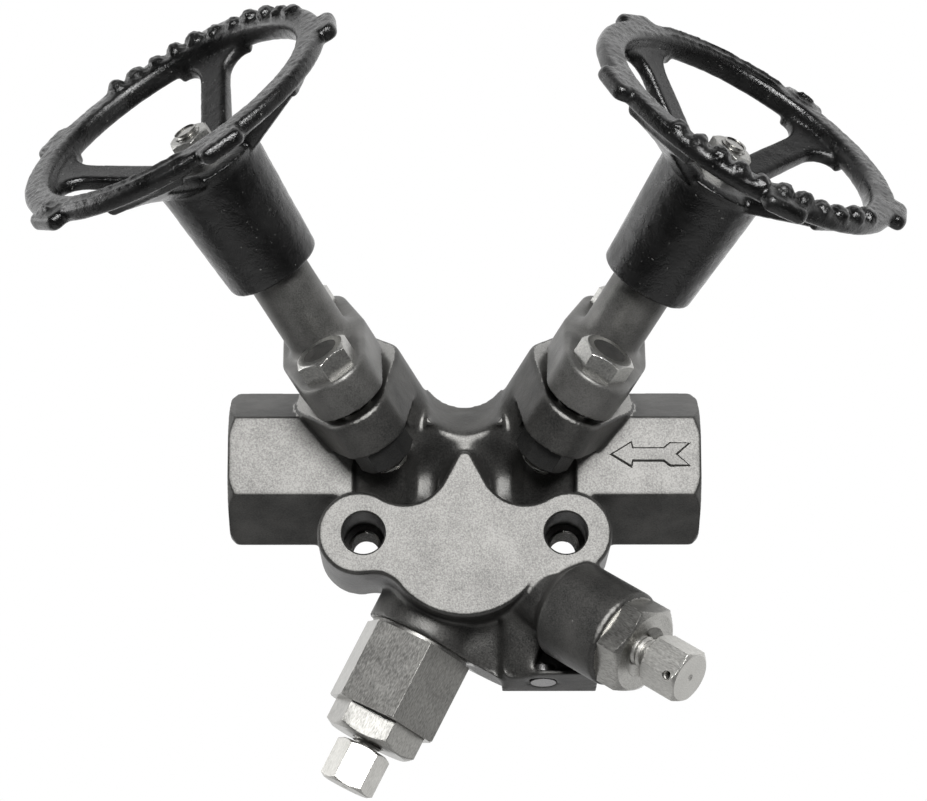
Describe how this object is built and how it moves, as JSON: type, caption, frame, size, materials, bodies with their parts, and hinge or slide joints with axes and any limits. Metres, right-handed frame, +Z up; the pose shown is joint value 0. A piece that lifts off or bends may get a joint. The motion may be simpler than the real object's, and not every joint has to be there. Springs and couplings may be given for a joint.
{
  "type": "steam trap valve station",
  "caption": "Steam trap connector with two angled handwheel piston valves, a strainer with blowdown valve, a test valve and a rear face that carries the trap.",
  "frame": {"origin": "centre of the rear face that the steam trap seats on", "axes": "+X along the pipe towards the inlet, +Y to the rear into the trap, +Z up towards the handwheels"},
  "size_m": [0.2184, 0.1187, 0.1954],
  "materials": {
    "forged_steel": "matt forged",
    "machined_steel": "satin turned",
    "plated_steel": "bright plated",
    "black_cast_iron": "black gloss paint",
    "graphite": "pressed graphite"
  },
  "bodies": {
    "station": {"blowdown_gland_nut": "machined_steel", "drilling_plug": "machined_steel", "inlet_bonnet": "forged_steel", "inlet_bonnet_nuts": "plated_steel", "inlet_bonnet_screws": "plated_steel", "inlet_lantern_bush": "machined_steel", "inlet_lower_sealing_ring": "graphite", "inlet_upper_sealing_ring": "graphite", "outlet_bonnet": "forged_steel", "outlet_bonnet_nuts": "plated_steel", "outlet_bonnet_screws": "plated_steel", "outlet_lantern_bush": "machined_steel", "outlet_lower_sealing_ring": "graphite", "outlet_upper_sealing_ring": "graphite", "station_body": "forged_steel", "strainer_cap": "machined_steel", "strainer_cap_gasket": "graphite", "strainer_screen": "machined_steel", "test_valve_nut": "machined_steel", "test_valve_seat": "machined_steel"},
    "inlet_piston_set": {"inlet_piston": "machined_steel", "inlet_piston_pins": "machined_steel"},
    "inlet_wheel_set": {"inlet_stem": "machined_steel", "inlet_handwheel": "black_cast_iron", "inlet_wheel_washer": "plated_steel", "inlet_wheel_nut": "plated_steel"},
    "outlet_piston_set": {"outlet_piston": "machined_steel", "outlet_piston_pins": "machined_steel"},
    "outlet_wheel_set": {"outlet_stem": "machined_steel", "outlet_handwheel": "black_cast_iron", "outlet_wheel_washer": "plated_steel", "outlet_wheel_nut": "plated_steel"},
    "blowdown_ball_set": {"blowdown_ball": "plated_steel"},
    "blowdown_stem_set": {"blowdown_stem": "machined_steel"},
    "test_ball_set": {"test_valve_ball": "plated_steel"},
    "test_stem_set": {"test_valve_stem": "machined_steel"}
  },
  "joints": [
    {"name": "inlet_valve_lift", "type": "slide", "parent": "station", "child": "inlet_piston_set", "axis": [0.493, -0.5446, 0.6785], "range_m": [-0.0123, 0.004]},
    {"name": "inlet_valve_turn", "type": "hinge", "parent": "inlet_piston_set", "child": "inlet_wheel_set", "pos_m": [0.0154, -0.018, 0.0205], "axis": [0.493, -0.5446, 0.6785], "range_deg": [-1477, 481]},
    {"name": "outlet_valve_lift", "type": "slide", "parent": "station", "child": "outlet_piston_set", "axis": [-0.493, -0.5446, 0.6785], "range_m": [-0.0163, 0]},
    {"name": "outlet_valve_turn", "type": "hinge", "parent": "outlet_piston_set", "child": "outlet_wheel_set", "pos_m": [-0.0154, -0.018, 0.0205], "axis": [-0.493, -0.5446, 0.6785], "range_deg": [-1957, 1]},
    {"name": "blowdown_lift", "type": "slide", "parent": "station", "child": "blowdown_ball_set", "axis": [-0.454, 0, -0.891], "range_m": [0, 0.003]},
    {"name": "blowdown_turn", "type": "hinge", "parent": "blowdown_ball_set", "child": "blowdown_stem_set", "pos_m": [0.001, -0.018, 0], "axis": [-0.454, 0, -0.891], "range_deg": [-1, 721]},
    {"name": "test_valve_lift", "type": "slide", "parent": "station", "child": "test_ball_set", "axis": [0.7233, -0.4695, -0.5064], "range_m": [0, 0.003]},
    {"name": "test_valve_turn", "type": "hinge", "parent": "test_ball_set", "child": "test_stem_set", "pos_m": [0, -0.018, 0], "axis": [0.7233, -0.4695, -0.5064], "range_deg": [-1, 721]}
  ],
  "couplings": [
    {"joint": "inlet_valve_turn", "follows": "inlet_valve_lift", "rad_per_m": 2094.4},
    {"joint": "outlet_valve_turn", "follows": "outlet_valve_lift", "rad_per_m": 2094.4},
    {"joint": "blowdown_turn", "follows": "blowdown_lift", "rad_per_m": 4188.8},
    {"joint": "test_valve_turn", "follows": "test_valve_lift", "rad_per_m": 4188.8}
  ]
}
